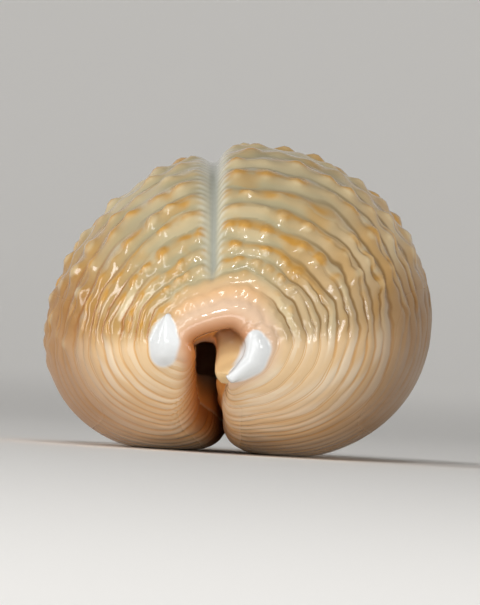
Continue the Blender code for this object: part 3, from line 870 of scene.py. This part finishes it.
def paintShell(shell):
    material = bpy.data.materials.new("glossyShell")
    material.use_nodes = True
    nodes, links = material.node_tree.nodes, material.node_tree.links
    shader = nodes["Principled BSDF"]

    def mask(name):
        node = nodes.new("ShaderNodeAttribute")
        node.attribute_name = name
        return node.outputs["Fac"]

    def put(socket, value):
        if hasattr(value, "is_output"):
            links.new(value, socket)
        else:
            socket.default_value = value

    def maths(operation, first, second=0.0):
        node = nodes.new("ShaderNodeMath")
        node.operation = operation
        put(node.inputs[0], first)
        put(node.inputs[1], second)
        return node.outputs[0]

    def remap(value, low, high, start=0.0, end=1.0):
        node = nodes.new("ShaderNodeMapRange")
        node.interpolation_type = "SMOOTHSTEP"
        put(node.inputs["Value"], value)
        node.inputs["From Min"].default_value = low
        node.inputs["From Max"].default_value = high
        node.inputs["To Min"].default_value = start
        node.inputs["To Max"].default_value = end
        return node.outputs["Result"]

    def blend(factor, first, second):
        node = nodes.new("ShaderNodeMix")
        node.data_type = "RGBA"
        put(node.inputs["Factor"], factor)
        put(node.inputs["A"], displayColour(first) if isinstance(first, str) else first)
        put(node.inputs["B"], displayColour(second) if isinstance(second, str) else second)
        return node.outputs["Result"]

    def noise(scale):
        node = nodes.new("ShaderNodeTexNoise")
        links.new(coordinates.outputs["Object"], node.inputs["Vector"])
        node.inputs["Scale"].default_value = scale
        return node.outputs["Fac"]

    coordinates = nodes.new("ShaderNodeTexCoord")
    apart = nodes.new("ShaderNodeSeparateXYZ")
    links.new(coordinates.outputs["Object"], apart.inputs["Vector"])
    rise = apart.outputs["Z"]
    # The row count gives the grooves, and the lines that split a ridge along its crest.
    turns = maths("MULTIPLY", mask("rowLine"), float(np.pi))
    crest = maths("ABSOLUTE", maths("SINE", turns))
    centre = maths("ABSOLUTE", maths("COSINE", turns))
    cloud, drift, speckle = (noise(scale) for scale in enamel["noiseScales"].values())
    valley = remap(crest, 0.38, 0.08)
    cut = maths("MULTIPLY", remap(centre, 0.26, 0.08), mask("split"))
    line = maths("MAXIMUM", valley, cut)
    beside = remap(maths("ABSOLUTE", maths("SUBTRACT", crest, 0.2)), 0.1, 0.03)
    paired = maths("MULTIPLY", beside, remap(drift, 0.5, 0.58))
    baseLine = maths("MAXIMUM", maths("MULTIPLY", line, remap(drift, 0.6, 0.5)), paired)

    tone, left = mask("tone"), mask("left")
    back = blend(remap(crest, 0.35, 0.95), "backGround", "backRidge")
    ridge = blend(left, "flankRidge", "leftRidge")
    groove = blend(left, "flankLine", "leftLine")
    ridge = blend(remap(tone, 0.45, 0.9, 0.0, 0.8), ridge, "cream")
    ridge = blend(remap(tone, 0.35, 0.05, 0.0, 0.55), ridge, "gold")
    back = blend(remap(tone, 0.5, 0.95, 0.0, 0.5), back, "cream")
    back = blend(remap(tone, 0.35, 0.05, 0.0, 0.5), back, "gold")
    flank = blend(maths("MULTIPLY", line, 0.9), ridge, groove)
    top = blend(mask("back"), flank, back)
    base = blend(remap(tone, 0.25, 0.8, 0.0, 0.8), "baseGround", "basePale")
    base = blend(maths("MULTIPLY", baseLine, 0.62), base, "baseLine")
    base = blend(remap(rise, *enamel["warmRise"], 0.3, 0.0), base, "warm")
    colour = blend(mask("under"), top, base)
    cloudy = remap(cloud, 0.3, 0.55, 0.0, 0.85)
    # The curl's colour darkens towards its top: painted shade under the arch, over its own tan.
    curlShaded = blend(remap(rise, *enamel["curlShadeRise"]), "curl", "curlShade")
    layers = (  # laid on one after another, each with how much of it shows
        # The two edge layers lay painted shade low on each side.
        (maths("MULTIPLY", mask("leftEdge"), 0.8), "leftEdge"),
        (maths("MULTIPLY", mask("rightShadedEdge"), 0.8), "rightShadedEdge"),
        (remap(mask("knob"), 0.3, 0.7, 0.0, 0.6), "cream"),
        (maths("MULTIPLY", mask("amber"), cloudy), "orange"),
        (maths("MULTIPLY", mask("sulcus"), 0.85), "grooveSide"),
        (maths("MULTIPLY", mask("core"), 0.85), "grooveBlue"),
        (maths("MULTIPLY", mask("rib"), 0.5), "rib"),
        (maths("MULTIPLY", mask("aboveArch"), 0.9), "peach"),
        (remap(mask("endRise"), 0.7, 0.1), "pink"),
        # The lips' orange-brown, with painted shade where they turn in.
        (mask("lipTintAndShade"), "lipTintAndShade"),
        # Painted light inside the mouth, palest deep in.
        (remap(mask("throat"), 0.0, 0.15), "throatNear"),
        (remap(mask("throat"), 0.4, 1.0), "throatDeep"),
        (mask("shelf"), curlShaded),
        (mask("spot"), "white"),
    )
    for share, shade in layers:
        colour = blend(share, colour, shade)
    links.new(colour, shader.inputs["Base Color"])

    fine = nodes.new("ShaderNodeBump")
    fine.inputs["Strength"].default_value = enamel["speckleStrength"]
    fine.inputs["Distance"].default_value = enamel["speckleDepth"]
    links.new(speckle, fine.inputs["Height"])
    links.new(fine.outputs["Normal"], shader.inputs["Normal"])
    edges = maths("MAXIMUM", mask("leftEdge"), mask("rightShadedEdge"))
    dull = maths("MAXIMUM", remap(mask("throat"), 0.0, 0.06), mask("dull"))
    dull = maths("MAXIMUM", dull, maths("MULTIPLY", mask("shelf"), 0.4))
    dull = maths("MAXIMUM", dull, maths("MULTIPLY", edges, 0.45))
    rough = remap(dull, 0.0, 1.0, enamel["roughness"], enamel["roughnessInside"])
    links.new(rough, shader.inputs["Roughness"])
    links.new(remap(dull, 0.7, 0.0, 0.0, enamel["coat"]), shader.inputs["Coat Weight"])
    shader.inputs["Coat Roughness"].default_value = enamel["coatRoughness"]
    shader.inputs["IOR"].default_value = enamel["clearness"]
    shell.data.materials.clear()
    shell.data.materials.append(material)
    print("enamel painted")


studio = {
    "photoMiddle": (0.0515, 0.5, 5.883),  # the point at the middle of the photo, in millimetres
    "pixelSize": 0.0382,  # millimetres of shell to one pixel of the photo
    "photoHeight": 605,
    "cameraFar": 0.6,
    "floorColour": (0.80, 0.785, 0.76, 1),
    "floorRoughness": 0.7,
    "floorSize": 3.6,
    "floorCuts": 60,
    "flatReach": 0.75,  # the floor is flat this far out, past every camera, then sweeps up
    "sweepRise": 0.9,
    "sky": 0.12,
    "skyColour": (1, 0.98, 0.95, 1),
}
softboxes = {  # place, width and height, watts, and what it points at if not the shell, in metres
    "leftStrip": ((-0.42, -0.26, 0.24), (0.1, 0.5), 1.15, None),
    "farStrip": ((-0.5, 0.08, 0.14), (0.07, 0.3), 0.6, None),
    "rightBox": ((0.42, -0.26, 0.06), (0.12, 0.10), 0.4, None),
    "frontBox": ((-0.08, -0.40, 0.27), (0.05, 0.05), 0.5, None),
    "topBox": ((0.03, -0.3, 0.45), (0.09, 0.09), 0.45, None),
    "lowBox": ((0.06, -0.66, 0.07), (0.8, 0.16), 1.9, None),
    "backdropBox": ((0.0, 0.35, 0.8), (1.6, 0.5), 6.5, (0.0, 1.6, 0.45)),
}


def buildFloor():
    bpy.ops.object.select_all(action="DESELECT")
    bpy.ops.mesh.primitive_plane_add(size=studio["floorSize"], location=(0, 0, 0))
    floor = bpy.context.object
    floor.name = "floor"
    bpy.ops.object.mode_set(mode="EDIT")
    bpy.ops.mesh.select_all(action="SELECT")
    bpy.ops.mesh.subdivide(number_cuts=studio["floorCuts"])
    bpy.ops.object.mode_set(mode="OBJECT")
    for v in floor.data.vertices:
        away = max(0.0, np.hypot(v.co.x, v.co.y) - studio["flatReach"])
        v.co.z = studio["sweepRise"] * away**2
    floor.data.shade_smooth()
    material = bpy.data.materials.new("paleFloor")
    material.use_nodes = True
    shader = material.node_tree.nodes["Principled BSDF"]
    shader.inputs["Base Color"].default_value = studio["floorColour"]
    shader.inputs["Roughness"].default_value = studio["floorRoughness"]
    floor.data.materials.append(material)


def addSoftbox(name, stand, size, watts, target):
    light = bpy.data.lights.new(name, "AREA")
    light.shape = "RECTANGLE"
    light.size, light.size_y = size
    light.energy = watts
    lamp = bpy.data.objects.new(name, light)
    lamp.location = stand
    aim = (photoMiddle if target is None else Vector(target)) - Vector(stand)
    lamp.rotation_euler = aim.to_track_quat("-Z", "Y").to_euler()
    bpy.context.scene.collection.objects.link(lamp)


def addCamera():
    camera = bpy.data.cameras.new("camera")
    camera.sensor_fit = "VERTICAL"
    camera.sensor_height = 24
    frameHeight = studio["photoHeight"] * studio["pixelSize"] * 0.001
    camera.lens = camera.sensor_height * studio["cameraFar"] / frameHeight
    camera.clip_start, camera.clip_end = 0.01, 10
    holder = bpy.data.objects.new("camera", camera)
    right = Vector((np.cos(lean), 0, np.sin(lean)))
    up = Vector((-np.sin(lean), 0, np.cos(lean)))
    look = Matrix((right, up, Vector((0, -1, 0)))).transposed().to_4x4()
    look.translation = photoMiddle + Vector((0, -studio["cameraFar"], 0))
    holder.matrix_world = look
    bpy.context.scene.collection.objects.link(holder)
    bpy.context.scene.camera = holder


shell, photoMiddle = buildShell()
paintShell(shell)
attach(shell, "root")
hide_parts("shell")

buildFloor()
for name, (stand, size, watts, target) in softboxes.items():
    addSoftbox(name, stand, size, watts, target)
world = bpy.data.worlds.new("softRoom")
world.use_nodes = True
sky = world.node_tree.nodes["Background"]
sky.inputs["Color"].default_value = studio["skyColour"]
sky.inputs["Strength"].default_value = studio["sky"]
bpy.context.scene.world = world
bpy.context.scene.view_settings.view_transform = "Standard"
addCamera()
print("studio ready")
